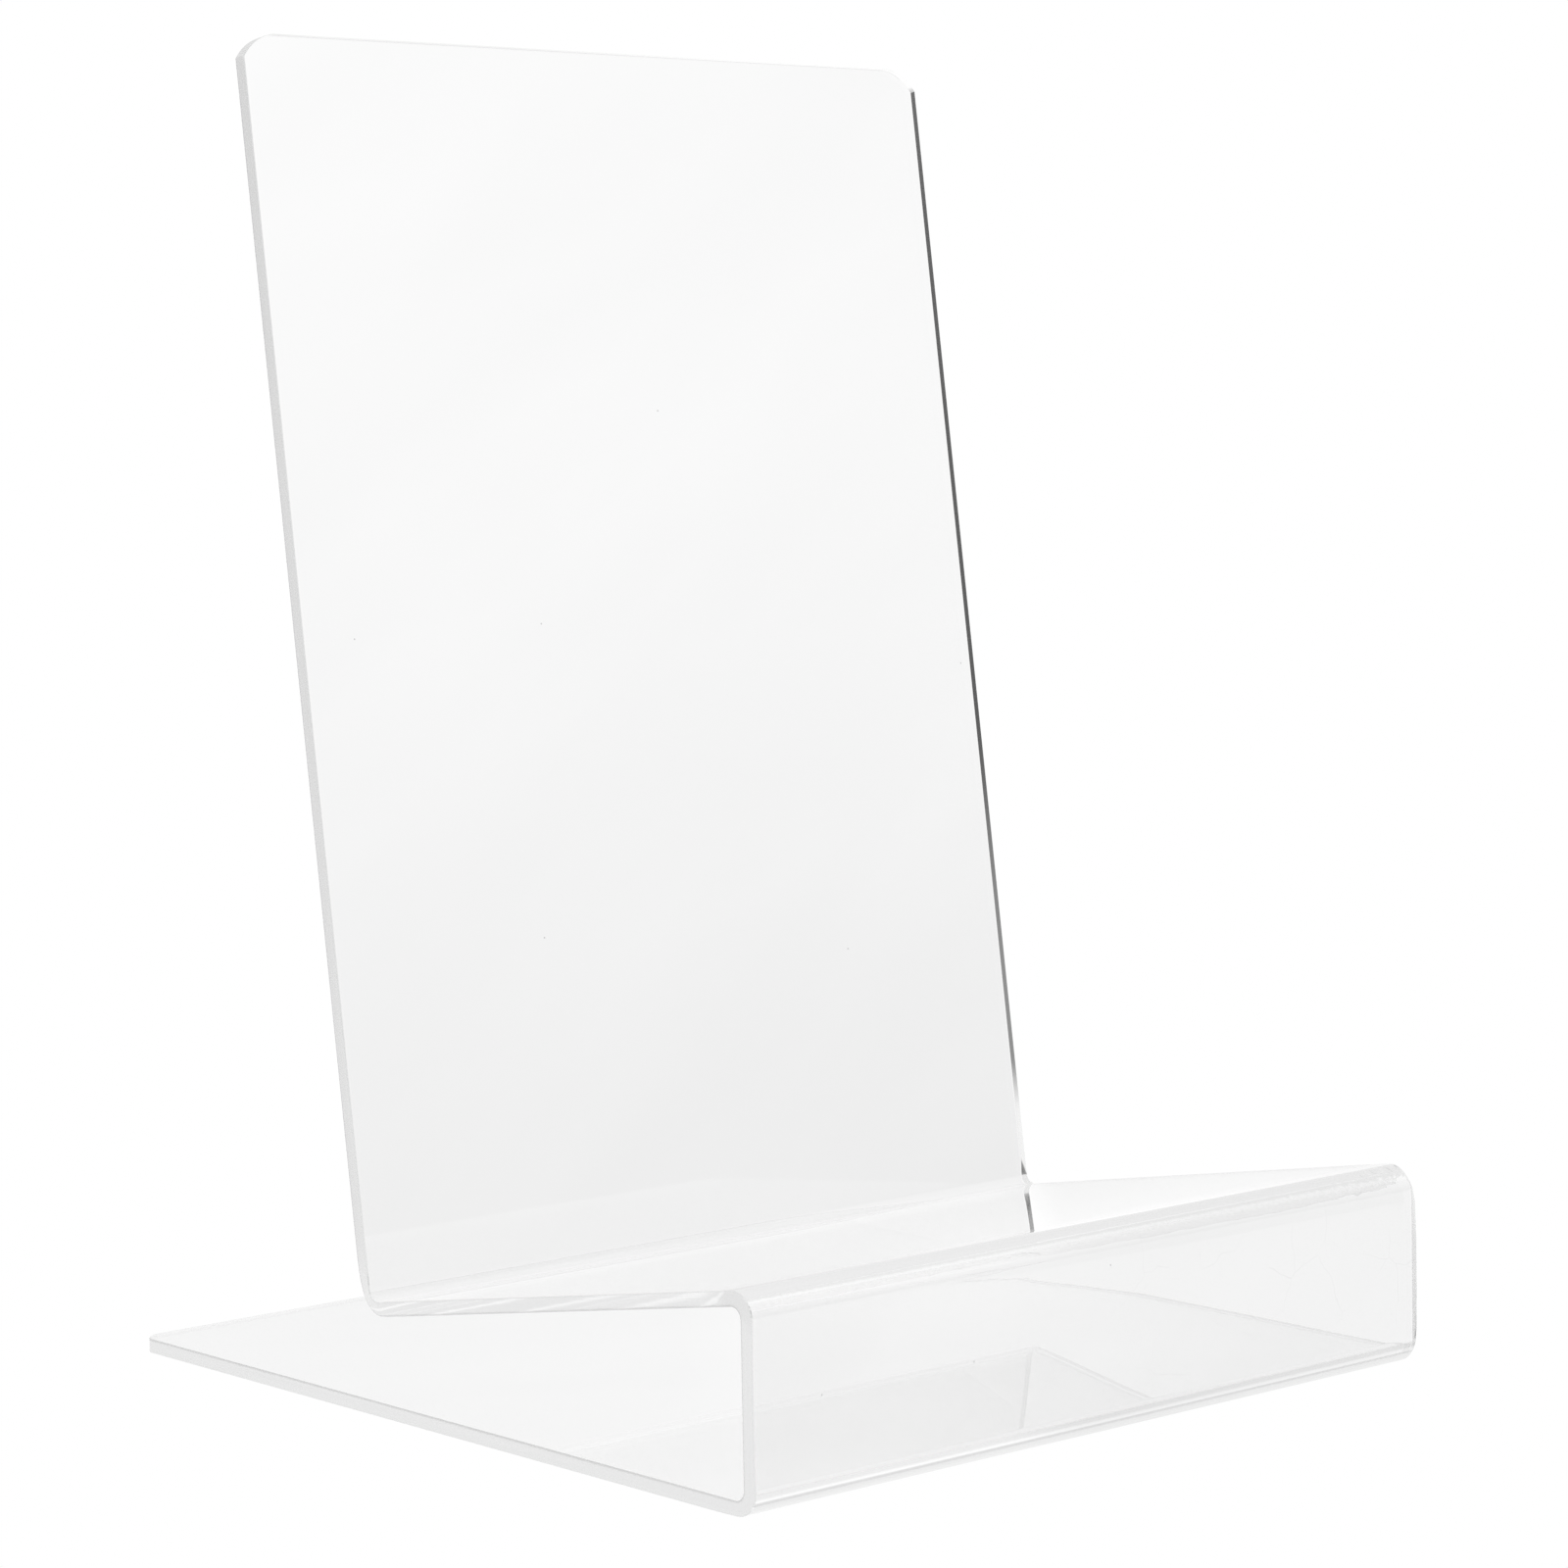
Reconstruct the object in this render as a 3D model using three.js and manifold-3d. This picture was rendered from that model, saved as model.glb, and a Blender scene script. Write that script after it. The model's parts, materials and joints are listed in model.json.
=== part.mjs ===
/**
 * Book display stand: one sheet of clear acrylic, cut flat and then line-bent three times.
 *
 * The base lies on the table and the riser stands up from its front. From the riser's top the
 * ledge falls away towards the rear, and from the ledge's low edge the back panel rises, leaning
 * back. A book stands on the ledge, and its weight tips it against the back panel.
 *
 * Units are millimetres, with +X across the width, +Y to the rear and +Z up. The origin is on the
 * table, at the centre of the stand's footprint.
 */
import * as THREE from 'three';
import { mergeVertices } from 'three/addons/utils/BufferGeometryUtils.js';
import Module from 'manifold-3d';

const { degToRad } = THREE.MathUtils;

// The sheet.
const width = 200;
const thickness = 3.2;
const insideBendRadius = 2.4;
const outsideBendRadius = insideBendRadius + thickness;

// Panel lengths, on the side of the sheet that the book touches. Each runs to its mould lines,
// the sharp corners that the bends round off.
const baseLength = 207;
const riserLength = 45.5;
const ledgeLength = 122;
const backLength = 272;

// How far each panel is off level or upright, in degrees.
const riserLean = 1.3;
const ledgeFall = 10;
const backLean = 8.5;

// Corners trimmed off the flat sheet by an arc: how much is lost along the end edge and along the
// side edge, and the arc's radius. The arc meets both edges at a slight angle.
const topCorner = { alongEnd: 8.8, alongSide: 5.2, radius: 12 };
const baseCorner = { alongEnd: 4.4, alongSide: 3.6, radius: 6 };

// How finely the arcs are divided, and how far a cutter reaches past the sheet.
const bendSteps = 16;
const cornerSteps = 12;
const cutterMargin = 5;

// Vertices closer together than this are one vertex.
const weldDistance = 1e-4;

// The panels in order, from the base's rear edge to the back panel's top edge. A heading is the
// way the panel runs, in degrees from +Y towards +Z.
const panels = [
  { length: baseLength, heading: 180 },
  { length: riserLength, heading: 90 - riserLean },
  { length: ledgeLength, heading: -ledgeFall },
  { length: backLength, heading: 90 - backLean },
];

/** The unit vector along a heading, in the side view: x is the row's Y and y is its Z. */
function along(heading) {
  return new THREE.Vector2(Math.cos(degToRad(heading)), Math.sin(degToRad(heading)));
}

/** The outward normal of the book side, which is on the left of someone walking the panels. */
function bookSideNormal(heading) {
  return along(heading + 90);
}

/** The bend that joins panel i to the next one. */
function bendAfter(i) {
  const turn = panels[i + 1].heading - panels[i].heading;
  const bookSideIsOutside = turn < 0;
  const radius = bookSideIsOutside ? outsideBendRadius : insideBendRadius;
  return {
    turn,
    radius,
    towardsCentre: bookSideIsOutside ? -1 : 1,
    setback: radius * Math.tan(degToRad(Math.abs(turn)) / 2),
  };
}

/**
 * Walks the book side of the sheet in the side view, from the base's rear edge to the top edge.
 * Each stop is a point on that side and the side's outward normal there.
 */
function walkBookSide() {
  const point = new THREE.Vector2(0, 0);
  const stops = [];
  const stop = (heading) => stops.push({ point: point.clone(), normal: bookSideNormal(heading) });
  let usedByBend = 0;
  panels.forEach(({ length, heading }, i) => {
    const isLast = i === panels.length - 1;
    const bend = isLast ? { setback: 0 } : bendAfter(i);
    stop(heading);
    point.addScaledVector(along(heading), length - usedByBend - bend.setback);
    stop(heading);
    usedByBend = bend.setback;
    if (isLast) {
      return;
    }
    const reach = bend.towardsCentre * bend.radius;
    const centre = point.clone().addScaledVector(bookSideNormal(heading), reach);
    for (let step = 1; step <= bendSteps; step++) {
      const turned = heading + (bend.turn * step) / bendSteps;
      point.copy(centre).addScaledVector(bookSideNormal(turned), -reach);
      if (step < bendSteps) {
        stop(turned);
      }
    }
  });
  return stops;
}

/** The point across the sheet from a stop, a share of the thickness in from the book side. */
function through({ point, normal }, share) {
  return point.clone().addScaledVector(normal, -share * thickness);
}

/** A matrix that puts a shape's x, y and z along three world directions, with its origin at a point. */
function placement(xAxis, yAxis, origin) {
  const zAxis = new THREE.Vector3().crossVectors(xAxis, yAxis);
  return new THREE.Matrix4().makeBasis(xAxis, yAxis, zAxis).setPosition(origin);
}

/** A side-view vector in the row frame, at a given x. */
function toRow({ x, y }, across = 0) {
  return new THREE.Vector3(across, x, y);
}

/** The bent sheet with square corners: its side view, swept across the width. */
function squareCorneredSheet(stops) {
  const bookSide = stops.map((stop) => through(stop, 0));
  const farSide = stops.map((stop) => through(stop, 1)).reverse();
  const sideView = new THREE.Shape([...bookSide, ...farSide]);
  const geometry = new THREE.ExtrudeGeometry(sideView, { depth: width, bevelEnabled: false });
  const rearwards = new THREE.Vector3(0, 1, 0);
  const upwards = new THREE.Vector3(0, 0, 1);
  return geometry.applyMatrix4(placement(rearwards, upwards, toRow({ x: 0, y: 0 }, -width / 2)));
}

/** The waste outside a trimmed corner, flat: the sharp corner is at 0, 0 and the sheet is below left. */
function cornerWaste({ alongEnd, alongSide, radius }) {
  const onEnd = new THREE.Vector2(-alongEnd, 0);
  const onSide = new THREE.Vector2(0, -alongSide);
  const chord = onSide.clone().sub(onEnd);
  const inwards = new THREE.Vector2(chord.y, -chord.x).normalize();
  const centre = onEnd
    .clone()
    .addScaledVector(chord, 0.5)
    .addScaledVector(inwards, Math.sqrt(radius ** 2 - chord.lengthSq() / 4));
  const startAngle = onEnd.clone().sub(centre).angle();
  const endAngle = onSide.clone().sub(centre).angle();
  const waste = new THREE.Shape();
  waste.moveTo(-alongEnd, cutterMargin);
  waste.lineTo(onEnd.x, onEnd.y);
  waste.absarc(centre.x, centre.y, radius, startAngle, endAngle, true);
  waste.lineTo(cutterMargin, -alongSide);
  waste.lineTo(cutterMargin, cutterMargin);
  return waste;
}

/** The two cutters that trim the corners at one end of the sheet. */
function cornerCutters(corner, endStop, outwards) {
  const depth = thickness + 2 * cutterMargin;
  const flat = new THREE.ExtrudeGeometry(cornerWaste(corner), {
    depth,
    bevelEnabled: false,
    curveSegments: cornerSteps,
  });
  flat.translate(0, 0, -depth / 2);
  const middle = through(endStop, 0.5);
  return [-1, 1].map((side) => {
    const sideways = new THREE.Vector3(side, 0, 0);
    return flat.clone().applyMatrix4(
      placement(sideways, toRow(outwards), toRow(middle, (side * width) / 2)),
    );
  });
}

/** A closed geometry as a solid that can be cut. */
function toSolid(wasm, geometry) {
  const bare = new THREE.BufferGeometry().setAttribute('position', geometry.getAttribute('position'));
  const merged = mergeVertices(bare, weldDistance);
  return new wasm.Manifold(
    new wasm.Mesh({
      numProp: 3,
      vertProperties: merged.getAttribute('position').array,
      triVerts: new Uint32Array(merged.index.array),
    }),
  );
}

/** A cut solid as a geometry with flat faces. */
function toGeometry(solid) {
  const { vertProperties, triVerts } = solid.getMesh();
  const indexed = new THREE.BufferGeometry();
  indexed.setAttribute('position', new THREE.BufferAttribute(vertProperties, 3));
  indexed.setIndex(new THREE.BufferAttribute(triVerts, 1));
  const geometry = indexed.toNonIndexed();
  geometry.computeVertexNormals();
  return geometry;
}

/** The finished sheet, with its footprint centred on the origin. */
function bentSheet(wasm) {
  const stops = walkBookSide();
  const cutters = [
    ...cornerCutters(baseCorner, stops[0], along(panels[0].heading).negate()),
    ...cornerCutters(topCorner, stops.at(-1), along(panels.at(-1).heading)),
  ];
  const solid = cutters.reduce(
    (sheet, cutter) => sheet.subtract(toSolid(wasm, cutter)),
    toSolid(wasm, squareCorneredSheet(stops)),
  );
  const geometry = toGeometry(solid);
  geometry.computeBoundingBox();
  const footprintCentre = geometry.boundingBox.getCenter(new THREE.Vector3());
  return geometry.translate(0, -footprintCentre.y, 0);
}

const wasm = await Module();
wasm.setup();

const clearAcrylic = new THREE.MeshStandardMaterial({
  color: 0xf4f6f6,
  roughness: 0.05,
  metalness: 0,
  transparent: true,
  opacity: 0.35,
});

const sheet = new THREE.Mesh(bentSheet(wasm), clearAcrylic);
sheet.name = 'bent_acrylic_sheet';

const group = new THREE.Group();
group.add(sheet);

export default group;
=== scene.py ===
"""Book display stand in clear acrylic: the looks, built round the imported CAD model.

The stand is one sheet, line-bent three times, so there is one piece. Its mesh is a row of loops: each
loop runs round the sheet's cross-section at one station, and the stations follow the bent sheet from
the base's rear edge to the back panel's top edge. Everything is in metres, with +X across the width,
+Y to the rear and +Z up.
"""

import json
import math
from dataclasses import dataclass

import bpy
from mathutils import Matrix, Vector, noise


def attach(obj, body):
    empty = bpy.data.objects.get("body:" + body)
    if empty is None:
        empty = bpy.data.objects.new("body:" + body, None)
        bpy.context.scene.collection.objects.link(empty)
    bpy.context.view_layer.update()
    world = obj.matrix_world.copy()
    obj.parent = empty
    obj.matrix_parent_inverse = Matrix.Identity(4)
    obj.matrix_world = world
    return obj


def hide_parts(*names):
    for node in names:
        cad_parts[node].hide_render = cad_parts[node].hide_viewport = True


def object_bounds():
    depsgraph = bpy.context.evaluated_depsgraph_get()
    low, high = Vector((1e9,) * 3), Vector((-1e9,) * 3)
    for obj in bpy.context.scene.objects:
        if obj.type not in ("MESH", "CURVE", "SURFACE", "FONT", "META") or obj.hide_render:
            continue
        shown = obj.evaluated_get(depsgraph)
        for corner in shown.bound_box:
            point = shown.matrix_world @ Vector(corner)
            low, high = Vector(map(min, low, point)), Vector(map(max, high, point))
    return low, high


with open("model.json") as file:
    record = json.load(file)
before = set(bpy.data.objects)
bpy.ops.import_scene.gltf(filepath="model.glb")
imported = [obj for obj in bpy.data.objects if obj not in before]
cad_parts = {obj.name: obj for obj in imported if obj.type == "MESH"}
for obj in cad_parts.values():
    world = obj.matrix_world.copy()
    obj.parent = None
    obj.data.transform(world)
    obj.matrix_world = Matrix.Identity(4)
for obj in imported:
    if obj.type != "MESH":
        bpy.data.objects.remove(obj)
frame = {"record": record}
cad_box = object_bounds()

MM = 0.001
NODE = "bent_acrylic_sheet"

# The sheet. The rest of its side view comes from the CAD box and the mounts.
THICKNESS = 3.2 * MM
INSIDE_BEND_RADIUS = 2.4 * MM
OUTSIDE_BEND_RADIUS = INSIDE_BEND_RADIUS + THICKNESS
RISER_LEAN = math.radians(1.3)
EDGE_CHAMFER = 0.18 * MM

# How finely the mesh is divided.
BEND_STEPS = 32
CORNER_STEPS = 16
FLAT_STEP = 8 * MM
COLUMNS = 400
EDGE_ROWS = 6
CROWDING = 0.85
CREASE_ANGLE = math.radians(18)

# The two materials' numbers on the mesh.
FACE, EDGE = 0, 1


@dataclass
class CornerTrim:
    """An arc that trims a corner: what it takes off the end edge and the side edge, and its radius."""

    along_end: float
    along_side: float
    radius: float

    def points(self):
        """Points on the arc from the side edge to the end edge: (distance from end, inset from side)."""
        on_side, on_end = Vector((self.along_side, 0)), Vector((0, self.along_end))
        chord = on_end - on_side
        inwards = Vector((self.along_end, self.along_side)).normalized()
        rise = math.sqrt(self.radius**2 - chord.length_squared / 4)
        centre = (on_side + on_end) / 2 + inwards * rise
        sweep = turn_between(on_side - centre, on_end - centre)
        return [
            centre + turned(on_side - centre, sweep * step / CORNER_STEPS)
            for step in range(CORNER_STEPS + 1)
        ]


@dataclass
class Station:
    """One place along the sheet, in the side view (y, z): a point on the book side, its outward normal,
    the distance along the middle of the sheet, how far a corner trim brings the side edges in, and how
    far the chamfer of an end edge brings the faces together."""

    point: Vector
    normal: Vector
    along: float
    inset: float = 0.0
    pinch: float = 0.0


@dataclass
class Bend:
    """How the heat of one bend shows: the side edges' pull-in on the bend's outer surface, at the left
    and the right, how far the inner surface swells, at the left and the right, and the depth of the
    ripples along the width and at the right end."""

    pull_in_left: float
    pull_in_right: float
    swell_left: float
    swell_right: float
    ripple: float
    ripple_right: float


@dataclass
class BendLine:
    """A fine line of painted light along a bend, on the book side, darker or lighter than the sheet round
    it: which bend, how far past its middle the line runs, how far it wavers, its width, and the painted
    shading it gives."""

    bend: int
    offset: float
    waver: float
    width: float
    painted_shading: float


TOP_CORNER = CornerTrim(along_end=8.8 * MM, along_side=5.2 * MM, radius=12 * MM)
BASE_CORNER = CornerTrim(along_end=4.4 * MM, along_side=3.6 * MM, radius=6 * MM)

# The bends in order: bottom, top and rear.
BENDS = (
    Bend(0.5 * MM, 0.7 * MM, 0.0, 0.0, ripple=0.001 * MM, ripple_right=0.0),
    Bend(0.4 * MM, 1.7 * MM, 0.1 * MM, 0.6 * MM, ripple=0.022 * MM, ripple_right=0.05 * MM),
    Bend(1.0 * MM, 0.6 * MM, 0.0, 0.0, ripple=0.006 * MM, ripple_right=0.0),
)
# Painted shade and a painted highlight: two darker lines along the bottom bend, and a wavering lighter line
# along the top bend.
PAINTED_BEND_LINES = (
    BendLine(bend=0, offset=2.4 * MM, waver=0.1 * MM, width=0.6 * MM, painted_shading=0.7),
    BendLine(bend=0, offset=1.1 * MM, waver=0.1 * MM, width=0.3 * MM, painted_shading=0.68),
    BendLine(bend=1, offset=-0.9 * MM, waver=1.2 * MM, width=0.5 * MM, painted_shading=1.0),
)
LINE_WAVES_PER_METRE = 900.0

# How far from a bend its marks reach. The ripples are deeper near the right edge, and are left out
# beyond RIPPLE_CUTOFF times their reach. Their noise has a falloff, a lacunarity and a number of octaves.
PULL_IN_REACH = 4.5 * MM
SWELL_REACH = 4 * MM
RIPPLE_REACH = 6 * MM
RIPPLE_LENGTH = 2.0 * MM
RIPPLE_RIGHT_REACH = 30 * MM
RIPPLE_CUTOFF = 2.5
RIPPLE_NOISE = (0.6, 2.0, 2)

ACRYLIC_INDEX = 1.49

# Painted shade on the base, riser, ledge and the back panel's bottom, middle and top: each one's tint, at
# the left and at the right, darkened to stand in for the shade and reflections it shows. Also how scratched
# they are. At a bend, one level blends into the next.
PAINTED_SHADE_LEFT = (0.98, 0.937, 1.0, 0.91, 0.975, 1.0)
PAINTED_SHADE_RIGHT = (1.0, 0.905, 0.9, 0.91, 0.99, 0.985)
SCRATCHED = (0.1, 1.0, 0.1, 0.05, 0.0, 0.0)
PANEL_BLEND = 4 * MM

# Painted reflection: soft cloudy reflections, painted as a slight darkening of the tint. Their length and
# width, their slant, the noise that makes them, and the most they take away.
CLOUD_SIZE = (160 * MM, 55 * MM, 1.0)
CLOUD_SLANT = math.radians(28)
CLOUD_DETAIL = 3.0
CLOUD_NOISE = (0.35, 0.65)
PAINTED_CLOUD_DARKENING = 0.022

# Hair scratches: how far apart and how wide they are, how far and how often they wander, the patches
# that hold them, and the share of the light that they keep.
SCRATCH_SPACING = 16 * MM
SCRATCH_WIDTH = 0.14 * MM
SCRATCH_WANDER = 12 * MM
WANDERS_PER_METRE = 60.0
WANDER_DETAIL = 4.0
SCRATCH_SPREAD = 18 * MM
SCRATCH_PATCH_NOISE = (0.48, 0.58)
SCRATCH_KEEPS = 0.85

# Dust: one cell holds at most one speck, only a share of the cells do, and a speck keeps some light.
SPECK_SPACING = 45 * MM
SPECK_SIZE = 0.2 * MM
SPECK_SHARE = 0.25
SPECK_KEEPS = 0.45

# Marks on the sawn edges, per metre across, along and through the sheet, and the greys they give: the marks
# are real, and the greys also darken the whole edge as painted shade. The edges get darker still, as
# painted shade, from EDGE_FADE_FROM of the way along the sheet to its top.
SAW_LINES = (15, 15, 1200)
SAW_LINE_DETAIL = 2.0
CHATTER = (300, 300, 120)
CHATTER_DETAIL = 1.0
CHATTER_SHARE = 0.05
MARK_NOISE = (0.3, 0.7)
MARK_BUMP = 0.05
MARK_DEPTH = 0.1 * MM
EDGE_DARKEST = 0.85
EDGE_LIGHTEST = 0.9
EDGE_FADE_FROM = 0.6
EDGE_TOP_SHADE = 0.8
EDGE_ROUGHNESS = 0.05

# Painted shade: thin dark lines along the arrises, by place from the book side (0) through the sheet to the
# far side (1).
PAINTED_ARRIS_SHADE = ((0.0, 0.93), (0.08, 0.95), (0.14, 1.0), (0.84, 1.0), (0.9, 0.7), (1.0, 0.65))

# Light trapped inside the sheet: after this many reflections it is even, and this bright.
TRAPPED_AFTER = 5
TRAPPED_LIGHT = 0.85

# The camera, from the front of the stand: its bearing, height, roll and lens, and where it aims.
CAMERA_AZIMUTH = math.radians(-42.657)
CAMERA_ELEVATION = math.radians(5.452)
CAMERA_ROLL = math.radians(0.139)
CAMERA_DISTANCE = 0.9932
CAMERA_AIM_RIGHT = 2.6 * MM
CAMERA_AIM_DOWN = 17.1 * MM
CAMERA_LENS = 102.74
CAMERA_SENSOR = 36.0

# Reflected light by bearing: from behind the camera (0), past its left (0.25), the backdrop (0.5) and
# its right (0.75), to behind it again (1). A dark card stands at the left, with its light by bearing,
# and its share by height from straight down (0) to straight up (1).
STUDIO_AROUND = (
    (0.0, 0.4),
    (0.42, 0.4),
    (0.475, 0.87),
    (0.4965, 0.86),
    (0.504, 1.12),
    (0.512, 1.12),
    (0.522, 0.92),
    (0.57, 0.5),
    (0.72, 0.2),
    (0.78, 0.4),
    (1.0, 0.4),
)
DARK_CARD_AROUND = ((0.16, 1.0), (0.21, 0.2), (0.29, 0.2), (0.34, 1.0))
DARK_CARD_UP = ((0.4, 0.0), (0.42, 1.0), (0.56, 1.0), (0.6, 0.0))

# The soft box and the ceiling over it, by the upward part of a direction.
SOFT_BOX_FROM = 0.02
SOFT_BOX_TO = 0.4
SOFT_BOX_LIGHT = 0.87
CEILING_FROM = 0.6
CEILING_TO = 0.7
CEILING_LIGHT = 1.0

# What is seen straight or through the sheet is this bright everywhere.
BACKDROP_LIGHT = 1.0

# The floor. Its own reflected light fades out between two distances from the stand, and goes by x - y,
# from -1 m at the left rear (0) to 1 m at the right front (1).
FLOOR_RADIUS = 6.0
FLOOR_SIDES = 96
FLOOR_GAP = 0.2 * MM
NEAR_FLOOR = 0.35
FAR_FLOOR = 1.6
NEAR_FLOOR_REACH = 1.0
NEAR_FLOOR_LIGHT = ((0.3, 0.3), (0.36, 1.05), (0.537, 1.05), (0.548, 0.93))

SOFT_LIGHT_SIZE = 1.2
SOFT_LIGHT_POWER = 3.0
SOFT_LIGHT_PLACE = (-0.9, -0.6, 1.6)

MOST_BOUNCES = 32
WHITE = (1, 1, 1, 1)


# --- The side view ---------------------------------------------------------------------------------


def turned(vector, angle):
    """A flat vector turned anticlockwise."""
    return Matrix.Rotation(angle, 2) @ vector


def across(a, b):
    """The size of the cross product of two flat vectors."""
    return a.x * b.y - a.y * b.x


def turn_between(a, b):
    """The anticlockwise angle from one flat vector to another."""
    return math.atan2(across(a, b), a.dot(b))


def normal_of(heading):
    """The book side's outward normal, on the left of someone walking the sheet."""
    return Vector((-heading.y, heading.x))


def mount_line(name):
    """A flat mount in the side view: a point on it, and the sheet's heading there."""
    mount = next(m for m in frame["record"]["mounts"] if m["name"] == name)
    normal = Vector(mount["axis"][1:])
    return Vector(mount["pos_m"][1:]), Vector((normal.y, -normal.x))


def riser_line():
    """The riser's front in the side view. The bottom bend that it leaves touches the box's corner."""
    box_corner = Vector(cad_box[0][1:])
    bend_centre = box_corner + Vector((OUTSIDE_BEND_RADIUS, OUTSIDE_BEND_RADIUS))
    heading = Vector((math.sin(RISER_LEAN), math.cos(RISER_LEAN)))
    return bend_centre + normal_of(heading) * OUTSIDE_BEND_RADIUS, heading


def meeting_point(line_a, line_b):
    """Where two lines of the side view cross."""
    (point_a, heading_a), (point_b, heading_b) = line_a, line_b
    reach = across(point_b - point_a, heading_b) / across(heading_a, heading_b)
    return point_a + heading_a * reach


def crowded_shares(count):
    """Shares from 0 to 1 in count steps, packed closer together at both ends."""
    even = (step / count for step in range(count + 1))
    return [share - CROWDING * math.sin(math.tau * share) / math.tau for share in even]


def flat_stations(start, heading, length, along, head, tail):
    """The stations of one flat panel, with the corner trims at its head or tail if it has them."""
    head_end = head[0].x if head else 0.0
    tail_start = length - (tail[0].x if tail else 0.0)
    plain = tail_start - head_end
    places = [(point.x, point.y) for point in reversed(head[1:])]
    places += [(head_end + plain * t, 0.0) for t in crowded_shares(math.ceil(plain / FLAT_STEP))]
    places += [(length - point.x, point.y) for point in tail[1:]]
    return [Station(start + heading * d, normal_of(heading), along + d, inset) for d, inset in places]


def bend_stations(start, heading, turn, radius, along):
    """The stations inside one bend, and its length along the middle of the sheet."""
    towards_centre = math.copysign(radius, turn)
    centre = start + normal_of(heading) * towards_centre
    length = abs(turn) * (INSIDE_BEND_RADIUS + THICKNESS / 2)
    inside = []
    for step in range(1, BEND_STEPS):
        share = step / BEND_STEPS
        normal = turned(normal_of(heading), turn * share)
        inside.append(Station(centre - normal * towards_centre, normal, along + length * share))
    return inside, length


def walk_sheet():
    """The stations along the bent sheet, and how far along it the middle of each bend is."""
    low, high = cad_box
    back_point, back_heading = mount_line("back_panel_front")
    lines = [
        mount_line("base_underside"),
        riser_line(),
        mount_line("ledge_top"),
        (back_point, back_heading),
    ]
    rear_edge = Vector((high.y, low.z))
    top_edge = back_point + back_heading * (high.z - back_point.y) / back_heading.y
    corners = [rear_edge, *map(meeting_point, lines, lines[1:]), top_edge]
    stations, bend_middles = [], []
    along, used_by_bend = 0.0, 0.0
    for i, (_, heading) in enumerate(lines):
        is_last = i == len(lines) - 1
        turn = 0.0 if is_last else turn_between(heading, lines[i + 1][1])
        radius = OUTSIDE_BEND_RADIUS if turn < 0 else INSIDE_BEND_RADIUS
        setback = radius * math.tan(abs(turn) / 2)
        start = corners[i] + heading * used_by_bend
        length = (corners[i + 1] - corners[i]).length - used_by_bend - setback
        head = BASE_CORNER.points() if i == 0 else []
        tail = TOP_CORNER.points() if is_last else []
        stations += flat_stations(start, heading, length, along, head, tail)
        along += length
        if is_last:
            break
        inside, bend_length = bend_stations(start + heading * length, heading, turn, radius, along)
        stations += inside
        bend_middles.append(along + bend_length / 2)
        along += bend_length
        used_by_bend = setback
    stations[0].pinch = stations[-1].pinch = EDGE_CHAMFER
    return stations, bend_middles


# --- The sheet's mesh ------------------------------------------------------------------------------


def pull_in(station, bend_middles, side):
    """How far the side edge is drawn in at a station, on the bend's outer surface: side is -1 or 1."""
    total = 0.0
    for bend, middle in zip(BENDS, bend_middles):
        depth = bend.pull_in_left if side < 0 else bend.pull_in_right
        total += depth * math.exp(-(((station.along - middle) / PULL_IN_REACH) ** 2))
    return total


def swell(station, bend_middles, x):
    """How far the far side stands out at a place, where the inside of a bend is squeezed."""
    share = (x - cad_box[0].x) / (cad_box[1].x - cad_box[0].x)
    total = 0.0
    for bend, middle in zip(BENDS, bend_middles):
        height = bend.swell_left + (bend.swell_right - bend.swell_left) * share
        total += height * math.exp(-(((station.along - middle) / SWELL_REACH) ** 2))
    return total


def ripple_depth(station, bend_middles, x):
    """How far heat ripples sink the surface at a place."""
    right_edge = cad_box[1].x
    total = 0.0
    for bend, middle in zip(BENDS, bend_middles):
        from_bend = (station.along - middle) / RIPPLE_REACH
        if abs(from_bend) > RIPPLE_CUTOFF:
            continue
        near_right = math.exp(-(((right_edge - x) / RIPPLE_RIGHT_REACH) ** 2))
        depth = bend.ripple + bend.ripple_right * near_right
        place = Vector((x / RIPPLE_LENGTH, station.along / RIPPLE_LENGTH, 0.0))
        wave = noise.fractal(place, *RIPPLE_NOISE)
        total += depth * math.exp(-(from_bend**2)) * (1 + wave) / 2
    return total


def section_loop(station, bend_middles):
    """The loop of points round the sheet at a station, with each point's place in the flat sheet.

    It runs along the book side from left to right, down the right edge, back along the far side and
    up the left edge.
    """
    low, high = cad_box
    outer_is_book_side = station.along < (bend_middles[1] + bend_middles[2]) / 2
    near, far = station.pinch, THICKNESS - station.pinch
    first_row, last_row = EDGE_CHAMFER, THICKNESS - EDGE_CHAMFER

    def side_x(side, depth):
        through = depth / THICKNESS
        outer_share = 1 - through if outer_is_book_side else through
        drawn_in = pull_in(station, bend_middles, side) * outer_share
        return (low.x if side < 0 else high.x) - side * (station.inset + drawn_in)

    def column_x(share, depth):
        left, right = side_x(-1, depth) + EDGE_CHAMFER, side_x(1, depth) - EDGE_CHAMFER
        return left + (right - left) * share

    rows = [first_row + (last_row - first_row) * row / EDGE_ROWS for row in range(EDGE_ROWS + 1)]
    columns = crowded_shares(COLUMNS)
    places = [(column_x(share, near), near) for share in columns]
    places += [(side_x(1, depth), depth) for depth in rows]
    places += [(column_x(share, far), far) for share in reversed(columns)]
    places += [(side_x(-1, depth), depth) for depth in reversed(rows)]

    points = []
    for x, depth in places:
        sunk = ripple_depth(station, bend_middles, x) * (1 - 2 * depth / THICKNESS)
        risen = swell(station, bend_middles, x) * depth / THICKNESS
        flat = station.point - station.normal * (depth + sunk + risen)
        points.append(Vector((x, flat.x, flat.y)))
    return points, [Vector((x, station.along, depth)) for x, depth in places]


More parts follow.
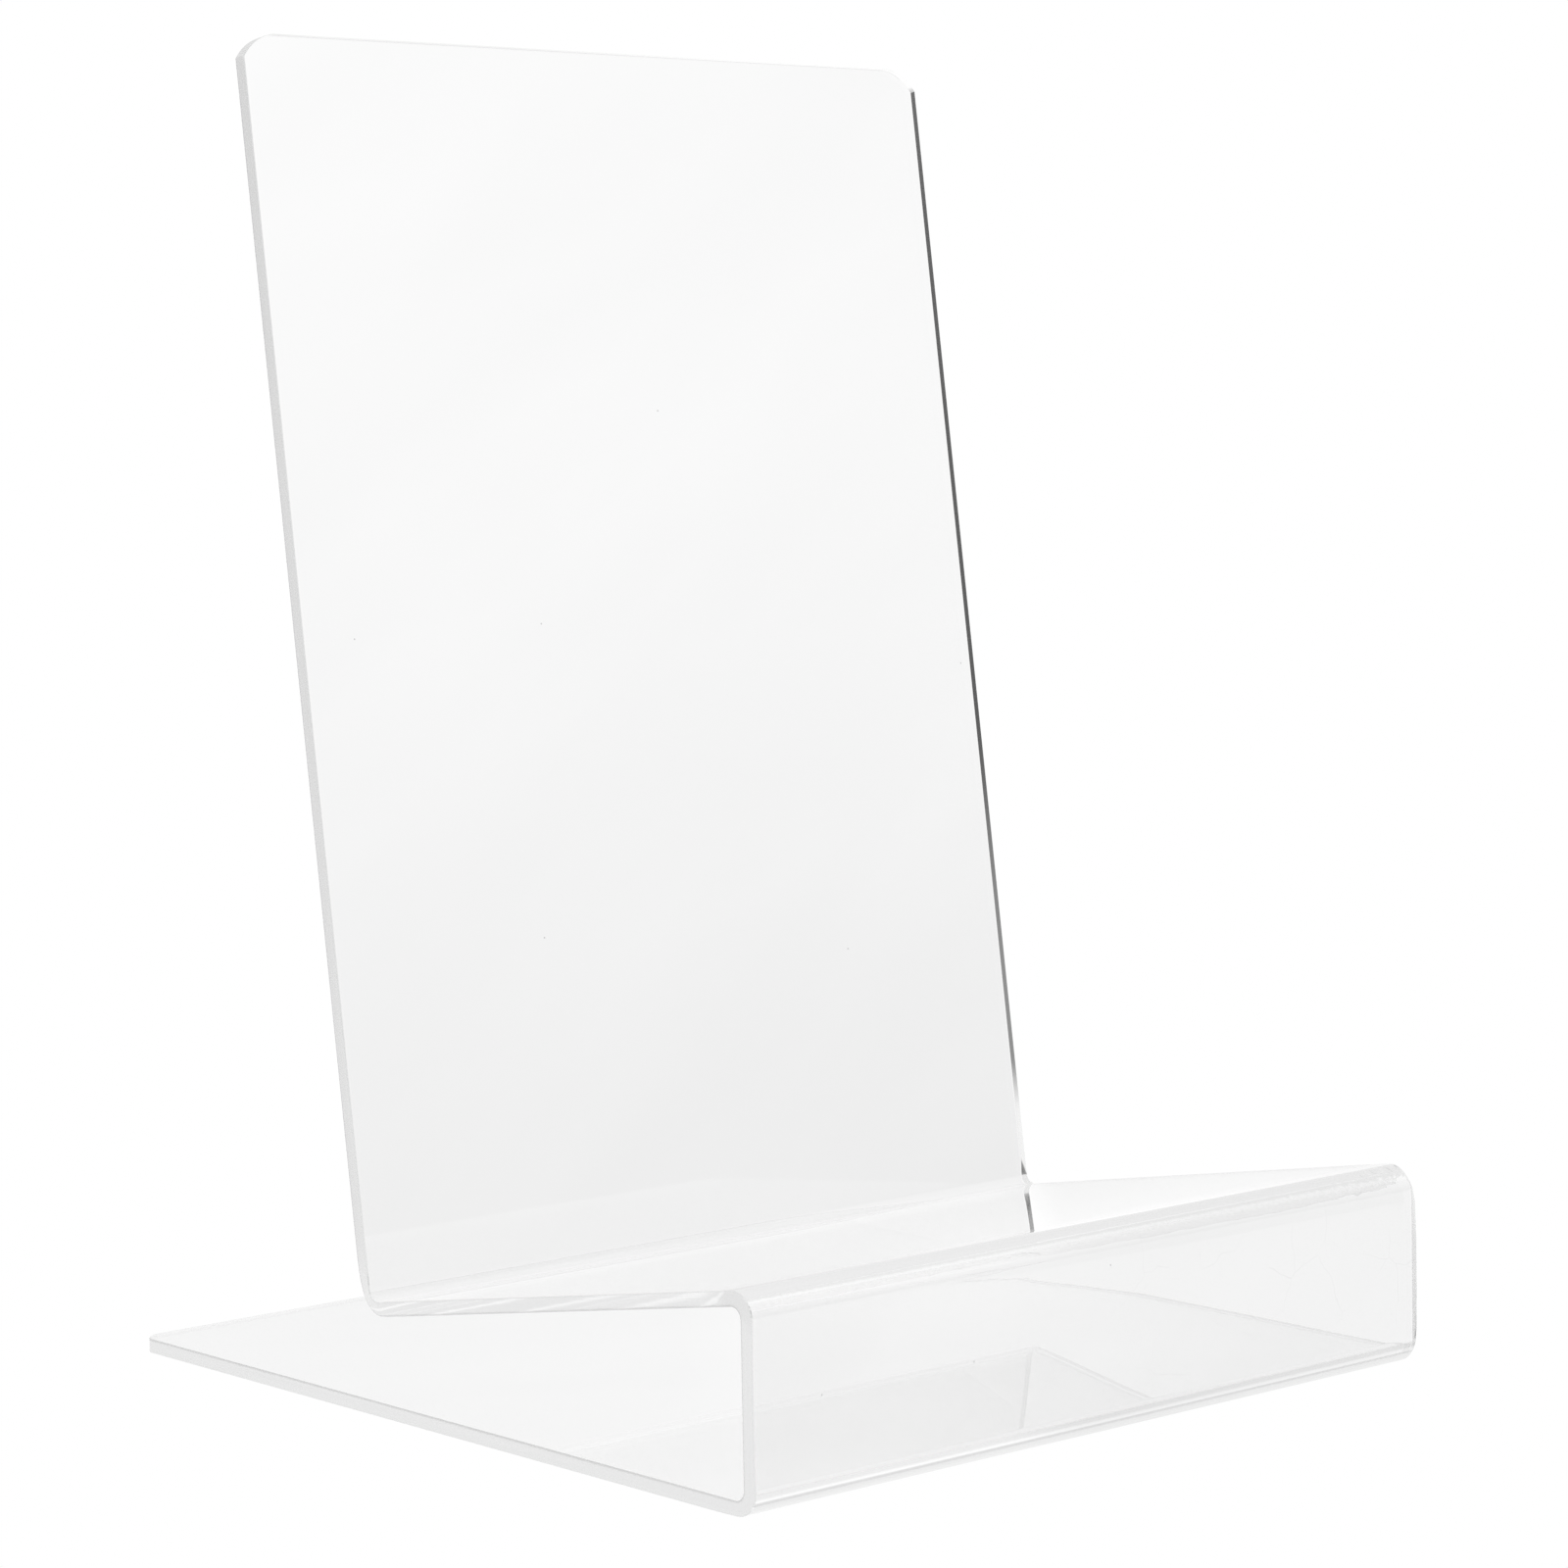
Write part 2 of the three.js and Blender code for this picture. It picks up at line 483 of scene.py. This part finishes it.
def sheet_faces(station_count):
    """The faces that join the loops and close the two ends, each with its material's number."""
    count = COLUMNS + 1
    rows = EDGE_ROWS + 1
    size = 2 * (count + rows)
    on_a_face = set(range(COLUMNS)) | set(range(count + rows, count + rows + COLUMNS))
    faces, materials = [], []
    for i in range(station_count - 1):
        for k in range(size):
            here, next_one = i * size + k, i * size + (k + 1) % size
            faces.append((here, next_one, next_one + size, here + size))
            materials.append(FACE if k in on_a_face else EDGE)
    for i in (0, station_count - 1):
        ends = end_faces(i * size, count, rows, size)
        faces += ends if i == 0 else [tuple(reversed(face)) for face in ends]
        materials += [EDGE] * len(ends)
    return faces, materials


def end_faces(first, count, rows, size):
    """The faces that close the sheet's first end. The last end has the same ones, turned round."""
    far_start = first + count + rows
    strips = []
    for j in range(COLUMNS):
        near_a, near_b = first + j, first + j + 1
        far_a, far_b = far_start + COLUMNS - j, far_start + COLUMNS - j - 1
        strips.append((near_a, far_a, far_b, near_b))
    right = tuple(range(far_start, first + count - 2, -1))
    left = (first, *range(first + size - 1, first + size - rows - 2, -1))
    return [*strips, right, left]


def build_sheet(stations, bend_middles):
    """The sheet as one closed mesh, with its flat-sheet coordinates kept for the materials."""
    points, places = [], []
    for station in stations:
        loop_points, loop_places = section_loop(station, bend_middles)
        points += loop_points
        places += loop_places
    faces, materials = sheet_faces(len(stations))
    mesh = bpy.data.meshes.new("bent_sheet")
    mesh.from_pydata(points, [], faces)
    mesh.polygons.foreach_set("material_index", materials)
    stored = mesh.attributes.new("sheet_place", "FLOAT_VECTOR", "POINT")
    stored.data.foreach_set("vector", [number for place in places for number in place])
    mesh.shade_smooth()
    mesh.set_sharp_from_angle(angle=CREASE_ANGLE)
    sheet = bpy.data.objects.new("bent_sheet", mesh)
    bpy.context.scene.collection.objects.link(sheet)
    return sheet


# --- Node helpers ----------------------------------------------------------------------------------


def add_node(tree, kind, inputs=None, **settings):
    """Adds a shader node with its settings, and links or sets its inputs."""
    made = tree.nodes.new(kind)
    for name, value in settings.items():
        setattr(made, name, value)
    for name, value in (inputs or {}).items():
        if isinstance(value, bpy.types.NodeSocket):
            tree.links.new(value, made.inputs[name])
        else:
            made.inputs[name].default_value = value
    return made


def reckon(tree, operation, a, b=0.0):
    """The result of a sum on one or two numbers."""
    return add_node(tree, "ShaderNodeMath", {0: a, 1: b}, operation=operation).outputs[0]


def reckon_vector(tree, operation, a, b):
    """The result of a sum on two vectors that gives a vector."""
    return add_node(tree, "ShaderNodeVectorMath", {0: a, 1: b}, operation=operation).outputs["Vector"]


def dot(tree, a, b):
    """The dot product of two vectors."""
    inputs = {0: a, 1: b}
    return add_node(tree, "ShaderNodeVectorMath", inputs, operation="DOT_PRODUCT").outputs["Value"]


def part_of(tree, vector, axis):
    """One part of a vector: X, Y or Z."""
    return add_node(tree, "ShaderNodeSeparateXYZ", {0: vector}).outputs[axis]


def product(tree, *factors):
    """Numbers multiplied together."""
    total = factors[0]
    for factor in factors[1:]:
        total = reckon(tree, "MULTIPLY", total, factor)
    return total


def mix(tree, factor, a, b):
    """A number between a and b."""
    return add_node(tree, "ShaderNodeMix", {"Factor": factor, "A": a, "B": b}).outputs["Result"]


def remap(tree, value, source, target=(0.0, 1.0), curve="LINEAR"):
    """A number moved from a source range to a target range, and kept inside it."""
    inputs = {"Value": value, "From Min": source[0], "From Max": source[1]}
    inputs |= {"To Min": target[0], "To Max": target[1]}
    return add_node(tree, "ShaderNodeMapRange", inputs, interpolation_type=curve).outputs["Result"]


def grey_at(tree, place, stops):
    """The grey at a place on a ramp. The stops are in order, each a place and a grey."""
    ramp = add_node(tree, "ShaderNodeValToRGB", {"Fac": place})
    elements = ramp.color_ramp.elements
    elements.remove(elements[-1])
    elements[0].position = stops[0][0]
    for stop, _ in stops[1:]:
        elements.new(stop)
    for element, (_, grey) in zip(elements, stops):
        element.color = (grey, grey, grey, 1)
    return ramp.outputs["Color"]


def noise_at(tree, place, scale=1.0, detail=2.0, output="Fac"):
    """Soft noise at a place, with its features about one over the scale apart."""
    inputs = {"Vector": place, "Scale": scale, "Detail": detail}
    return add_node(tree, "ShaderNodeTexNoise", inputs).outputs[output]


def new_material(name):
    """An empty node material, its tree and its surface's input."""
    material = bpy.data.materials.new(name)
    material.use_nodes = True
    material.node_tree.nodes.clear()
    output = add_node(material.node_tree, "ShaderNodeOutputMaterial")
    return material, material.node_tree, output.inputs["Surface"]


# --- Materials -------------------------------------------------------------------------------------


def sheet_coordinates(tree):
    """A place in the flat sheet: x across it, y along it and z through it, in metres."""
    return add_node(tree, "ShaderNodeAttribute", attribute_name="sheet_place").outputs["Vector"]


def share_along(tree, place, length):
    """How far along the sheet a place is, from 0 to 1."""
    return reckon(tree, "DIVIDE", part_of(tree, place, "Y"), length)


def share_across(tree, place):
    """How far to the right a place is, from 0 to 1."""
    return remap(tree, part_of(tree, place, "X"), (cad_box[0].x, cad_box[1].x))


def on_book_side(tree, place):
    """1 on the side of the sheet that the book touches and 0 on the far side."""
    return reckon(tree, "LESS_THAN", part_of(tree, place, "Z"), THICKNESS / 2)


def panel_levels(tree, share, bend_shares, blend, levels):
    """A level for each panel, along the sheet's length."""
    bottom, top, rear = bend_shares
    base, riser, ledge, back_low, back_middle, back_high = levels
    stops = (
        (0.0, base),
        (bottom - blend, base),
        (bottom + blend, riser),
        (top - blend, riser),
        (top + blend, ledge),
        (rear - blend, ledge),
        (rear + blend, back_low),
        ((rear + 1) / 2, back_middle),
        (1.0, back_high),
    )
    return grey_at(tree, share, stops)


def painted_cloud_reflections(tree, place):
    """Painted cloudy reflections: 1 between the clouds, a little less on them."""
    slanted = add_node(tree, "ShaderNodeMapping", {"Vector": place}, vector_type="TEXTURE")
    slanted.inputs["Rotation"].default_value = (0, 0, CLOUD_SLANT)
    slanted.inputs["Scale"].default_value = CLOUD_SIZE
    cloud = noise_at(tree, slanted.outputs[0], detail=CLOUD_DETAIL)
    return remap(tree, cloud, CLOUD_NOISE, (1 - PAINTED_CLOUD_DARKENING, 1.0))


def hair_scratches(tree, place):
    """Thin broken scratches: 1 on a scratch and 0 off it."""
    wander = noise_at(tree, place, WANDERS_PER_METRE, WANDER_DETAIL, output="Color")
    moved = reckon_vector(tree, "MULTIPLY", wander, (SCRATCH_WANDER, SCRATCH_WANDER, 0))
    cracks = add_node(
        tree,
        "ShaderNodeTexVoronoi",
        {"Vector": reckon_vector(tree, "ADD", place, moved), "Scale": 1 / SCRATCH_SPACING},
        feature="DISTANCE_TO_EDGE",
        voronoi_dimensions="2D",
    )
    line = remap(tree, cracks.outputs["Distance"], (0.0, SCRATCH_WIDTH / SCRATCH_SPACING), (1.0, 0.0))
    patches = remap(tree, noise_at(tree, place, 1 / SCRATCH_SPREAD), SCRATCH_PATCH_NOISE)
    return product(tree, line, patches, on_book_side(tree, place))


def dust_specks(tree, place):
    """A few specks of dust: 1 on a speck and 0 off it."""
    inputs = {"Vector": place, "Scale": 1 / SPECK_SPACING}
    cells = add_node(tree, "ShaderNodeTexVoronoi", inputs, voronoi_dimensions="2D")
    near = reckon(tree, "LESS_THAN", cells.outputs["Distance"], SPECK_SIZE / SPECK_SPACING)
    chance = part_of(tree, cells.outputs["Color"], "X")
    chosen = reckon(tree, "LESS_THAN", chance, SPECK_SHARE)
    return product(tree, near, chosen, on_book_side(tree, place))


def paint_bend_lines(tree, place, bend_middles, painted_shading):
    """The painted shading, with the bend lines' painted shade and painted highlight drawn over it."""
    x, along = part_of(tree, place, "X"), part_of(tree, place, "Y")
    wave = add_node(tree, "ShaderNodeTexNoise", {"W": x}, noise_dimensions="1D")
    wave.inputs["Scale"].default_value = LINE_WAVES_PER_METRE
    for line in PAINTED_BEND_LINES:
        middle = bend_middles[line.bend] + line.offset
        wavering = (middle - line.waver / 2, middle + line.waver / 2)
        centre = remap(tree, wave.outputs["Fac"], (0.0, 1.0), wavering)
        distance = reckon(tree, "ABSOLUTE", reckon(tree, "SUBTRACT", along, centre))
        on_line = remap(tree, distance, (line.width / 2, line.width), (1.0, 0.0))
        share = product(tree, on_line, on_book_side(tree, place))
        painted_shading = mix(tree, share, painted_shading, line.painted_shading)
    return painted_shading


def lit_from_within(tree, surface):
    """The surface, or after many reflections inside the sheet, the even light that is trapped there."""
    depth = add_node(tree, "ShaderNodeLightPath").outputs["Glossy Depth"]
    trapped = reckon(tree, "GREATER_THAN", depth, TRAPPED_AFTER)
    glow = add_node(tree, "ShaderNodeEmission", {"Color": WHITE, "Strength": TRAPPED_LIGHT})
    inputs = {0: trapped, 1: surface.outputs["BSDF"], 2: glow.outputs[0]}
    return add_node(tree, "ShaderNodeMixShader", inputs).outputs[0]


def acrylic(tree, tint, roughness, extra_inputs=None):
    """A surface of acrylic that refracts and reflects, with the light that is trapped under it."""
    inputs = {"Base Color": tint, "Roughness": roughness, "IOR": ACRYLIC_INDEX}
    inputs |= {"Transmission Weight": 1.0, **(extra_inputs or {})}
    return lit_from_within(tree, add_node(tree, "ShaderNodeBsdfPrincipled", inputs))


def clear_acrylic(bend_middles, length):
    """The glossy faces: clear, with painted shade on each panel, painted shade and a painted highlight
    along the bends, faint painted cloudy reflections, hair scratches and a little dust.
    """
    material, tree, surface = new_material("clear_acrylic")
    place = sheet_coordinates(tree)
    along, across_sheet = share_along(tree, place, length), share_across(tree, place)
    bend_shares = [middle / length for middle in bend_middles]
    left, right, scratched = (
        panel_levels(tree, along, bend_shares, PANEL_BLEND / length, levels)
        for levels in (PAINTED_SHADE_LEFT, PAINTED_SHADE_RIGHT, SCRATCHED)
    )
    # Painted shade on each panel, at the left and the right, with painted shade and a painted highlight
    # along the bends.
    painted_shading = paint_bend_lines(tree, place, bend_middles, mix(tree, across_sheet, left, right))
    scratches = product(tree, hair_scratches(tree, place), scratched, across_sheet)
    tint = product(
        tree,
        painted_shading,
        painted_cloud_reflections(tree, place),
        mix(tree, scratches, 1.0, SCRATCH_KEEPS),
        mix(tree, dust_specks(tree, place), 1.0, SPECK_KEEPS),
    )
    tree.links.new(acrylic(tree, tint, roughness=0.0), surface)
    return material


def edge_marks(tree, place, stretch, detail):
    """Marks on the sawn edges: noise stretched by different amounts across, along and through the sheet."""
    return noise_at(tree, reckon_vector(tree, "MULTIPLY", place, stretch), detail=detail)


def painted_arris_shade(tree, place):
    """Painted shade: thin dark lines along both arrises of a sawn edge. The far side's is darker."""
    through = reckon(tree, "DIVIDE", part_of(tree, place, "Z"), THICKNESS)
    return grey_at(tree, through, PAINTED_ARRIS_SHADE)


def sawn_edge(length):
    """The satin edges left by the saw, with fine lines along them and chatter marks across.

    The marks and the painted shade of the edges, their arrises and their top show from outside only. Seen
    from inside the sheet, the edges are clear.
    """
    material, tree, surface = new_material("sawn_edge")
    place = sheet_coordinates(tree)
    lines = edge_marks(tree, place, SAW_LINES, SAW_LINE_DETAIL)
    chatter = edge_marks(tree, place, CHATTER, CHATTER_DETAIL)
    marks = mix(tree, CHATTER_SHARE, lines, chatter)
    # The saw marks' greys, also darkening the whole edge as painted shade.
    grey = remap(tree, marks, MARK_NOISE, (EDGE_DARKEST, EDGE_LIGHTEST))
    # Painted shade: the edges darker towards the sheet's top.
    painted_top_shade = remap(tree, share_along(tree, place, length), (EDGE_FADE_FROM, 1.0), (1.0, EDGE_TOP_SHADE))
    shade = product(tree, grey, painted_arris_shade(tree, place), painted_top_shade)
    seen_from_inside = add_node(tree, "ShaderNodeNewGeometry").outputs["Backfacing"]
    tint = mix(tree, seen_from_inside, shade, 1.0)
    bump_inputs = {"Height": marks, "Strength": MARK_BUMP, "Distance": MARK_DEPTH}
    bump = add_node(tree, "ShaderNodeBump", bump_inputs)
    edge = acrylic(tree, tint, EDGE_ROUGHNESS, {"Normal": bump.outputs["Normal"]})
    tree.links.new(edge, surface)
    return material


# --- The stage -------------------------------------------------------------------------------------


def bearing(tree, direction):
    """A direction's bearing, from behind the camera (0) clockwise round to behind it again (1)."""
    ahead = (-math.sin(CAMERA_AZIMUTH), math.cos(CAMERA_AZIMUTH), 0.0)
    to_the_right = (math.cos(CAMERA_AZIMUTH), math.sin(CAMERA_AZIMUTH), 0.0)
    angle = reckon(tree, "ARCTAN2", dot(tree, direction, to_the_right), dot(tree, direction, ahead))
    return remap(tree, angle, (-math.pi, math.pi))


def studio_light(tree, direction):
    """The light that the studio's walls, soft box and ceiling give to reflections."""
    around, up = bearing(tree, direction), part_of(tree, direction, "Z")
    card_share = grey_at(tree, remap(tree, up, (-1.0, 1.0)), DARK_CARD_UP)
    card = mix(tree, card_share, 1.0, grey_at(tree, around, DARK_CARD_AROUND))
    walls = product(tree, grey_at(tree, around, STUDIO_AROUND), card)
    ceiling_share = remap(tree, up, (CEILING_FROM, CEILING_TO))
    overhead = mix(tree, ceiling_share, SOFT_BOX_LIGHT, CEILING_LIGHT)
    overhead_share = remap(tree, up, (SOFT_BOX_FROM, SOFT_BOX_TO), curve="SMOOTHSTEP")
    return mix(tree, overhead_share, walls, overhead)


def studio_group():
    """A node group for the light that comes from a direction.

    Seen straight or through the sheet, all of it is the same pale backdrop. In reflections the
    backdrop is only on the far side of the studio, and near the stand the floor has its own light.
    """
    group = bpy.data.node_groups.new("studio_light", "ShaderNodeTree")
    group.interface.new_socket("Direction", in_out="INPUT", socket_type="NodeSocketVector")
    group.interface.new_socket("Nearness", in_out="INPUT", socket_type="NodeSocketFloat")
    group.interface.new_socket("Floor Light", in_out="INPUT", socket_type="NodeSocketFloat")
    group.interface.new_socket("Strength", in_out="OUTPUT", socket_type="NodeSocketFloat")
    given = add_node(group, "NodeGroupInput").outputs
    far_off = studio_light(group, given["Direction"])
    surroundings = mix(group, given["Nearness"], far_off, given["Floor Light"])
    reflections = add_node(group, "ShaderNodeLightPath").outputs["Glossy Depth"]
    is_reflected = reckon(group, "MINIMUM", reflections, 1.0)
    strength = mix(group, is_reflected, BACKDROP_LIGHT, surroundings)
    add_node(group, "NodeGroupOutput", {0: strength})
    return group


def light_world(studio):
    """The world gives the studio's light."""
    world = bpy.data.worlds.new("studio")
    world.use_nodes = True
    tree = world.node_tree
    tree.nodes.clear()
    direction = add_node(tree, "ShaderNodeTexCoord").outputs["Generated"]
    light = add_node(tree, "ShaderNodeGroup", node_tree=studio)
    tree.links.new(direction, light.inputs["Direction"])
    inputs = {"Color": WHITE, "Strength": light.outputs["Strength"]}
    background = add_node(tree, "ShaderNodeBackground", inputs)
    add_node(tree, "ShaderNodeOutputWorld", {"Surface": background.outputs[0]})
    bpy.context.scene.world = world


def floor_nearness(tree, position):
    """1 on the floor round the stand, and 0 far from it."""
    inputs = {0: position}
    length = add_node(tree, "ShaderNodeVectorMath", inputs, operation="LENGTH").outputs["Value"]
    return remap(tree, length, (NEAR_FLOOR, FAR_FLOOR), (1.0, 0.0), curve="SMOOTHSTEP")


def near_floor_light(tree, position):
    """The light that the floor round the stand gives to reflections."""
    x_less_y = dot(tree, position, (1, -1, 0))
    place = remap(tree, x_less_y, (-NEAR_FLOOR_REACH, NEAR_FLOOR_REACH))
    return grey_at(tree, place, NEAR_FLOOR_LIGHT)


def floor_material(studio):
    """A pale floor that merges with the backdrop and hides nothing from below.

    In reflections, the floor near the stand is bright, a little less so at its right, and dark at the
    far left.
    """
    material, tree, surface = new_material("pale_floor")
    geometry = add_node(tree, "ShaderNodeNewGeometry").outputs
    position = geometry["Position"]
    inputs = {
        "Direction": reckon_vector(tree, "MULTIPLY", geometry["Incoming"], (-1, -1, -1)),
        "Nearness": floor_nearness(tree, position),
        "Floor Light": near_floor_light(tree, position),
    }
    light = add_node(tree, "ShaderNodeGroup", node_tree=studio)
    for name, value in inputs.items():
        tree.links.new(value, light.inputs[name])
    glow = add_node(tree, "ShaderNodeEmission", {"Color": WHITE, "Strength": light.outputs["Strength"]})
    clear = add_node(tree, "ShaderNodeBsdfTransparent")
    inputs = {0: geometry["Backfacing"], 1: glow.outputs[0], 2: clear.outputs[0]}
    tree.links.new(add_node(tree, "ShaderNodeMixShader", inputs).outputs[0], surface)
    return material


def lay_floor(studio):
    """A wide round floor just under the stand."""
    bpy.ops.mesh.primitive_circle_add(
        vertices=FLOOR_SIDES,
        radius=FLOOR_RADIUS,
        fill_type="NGON",
        location=(0, 0, cad_box[0].z - FLOOR_GAP),
    )
    floor = bpy.context.object
    floor.name = "floor"
    floor.data.materials.append(floor_material(studio))


def add_soft_light():
    """One wide soft light, high up at the front left."""
    light = bpy.data.lights.new("soft_light", "AREA")
    light.shape = "DISK"
    light.size = SOFT_LIGHT_SIZE
    light.energy = SOFT_LIGHT_POWER
    lamp = bpy.data.objects.new("soft_light", light)
    lamp.location = SOFT_LIGHT_PLACE
    lamp.rotation_euler = (-Vector(SOFT_LIGHT_PLACE)).to_track_quat("-Z", "Y").to_euler()
    bpy.context.scene.collection.objects.link(lamp)


def add_camera():
    """A long lens, a little above the stand, at its front left corner."""
    low, high = cad_box
    cos_up = math.cos(CAMERA_ELEVATION)
    forward = Vector(
        (
            -math.sin(CAMERA_AZIMUTH) * cos_up,
            math.cos(CAMERA_AZIMUTH) * cos_up,
            -math.sin(CAMERA_ELEVATION),
        )
    )
    right = forward.cross(Vector((0, 0, 1))).normalized()
    down = forward.cross(right)
    aim = (low + high) / 2 + right * CAMERA_AIM_RIGHT + down * CAMERA_AIM_DOWN
    roll = Matrix.Rotation(CAMERA_ROLL, 3, forward)
    axes = Matrix((roll @ right, roll @ -down, -forward)).transposed()
    data = bpy.data.cameras.new("camera")
    data.sensor_width = CAMERA_SENSOR
    data.lens = CAMERA_LENS
    camera = bpy.data.objects.new("camera", data)
    camera.matrix_world = Matrix.LocRotScale(aim - forward * CAMERA_DISTANCE, axes, None)
    bpy.context.scene.collection.objects.link(camera)
    bpy.context.scene.camera = camera


def set_rendering():
    """Plain colours, a denoiser, and enough bounces for light that is guided along inside the sheet."""
    scene = bpy.context.scene
    scene.view_settings.view_transform = "Standard"
    scene.cycles.use_denoising = True
    scene.cycles.max_bounces = MOST_BOUNCES
    scene.cycles.transmission_bounces = MOST_BOUNCES
    scene.cycles.glossy_bounces = MOST_BOUNCES


# --- The scene -------------------------------------------------------------------------------------

stations, bend_middles = walk_sheet()
sheet = build_sheet(stations, bend_middles)
sheet.data.materials.append(clear_acrylic(bend_middles, stations[-1].along))
sheet.data.materials.append(sawn_edge(stations[-1].along))
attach(sheet, "root")
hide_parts(NODE)

studio = studio_group()
light_world(studio)
lay_floor(studio)
add_soft_light()
add_camera()
set_rendering()
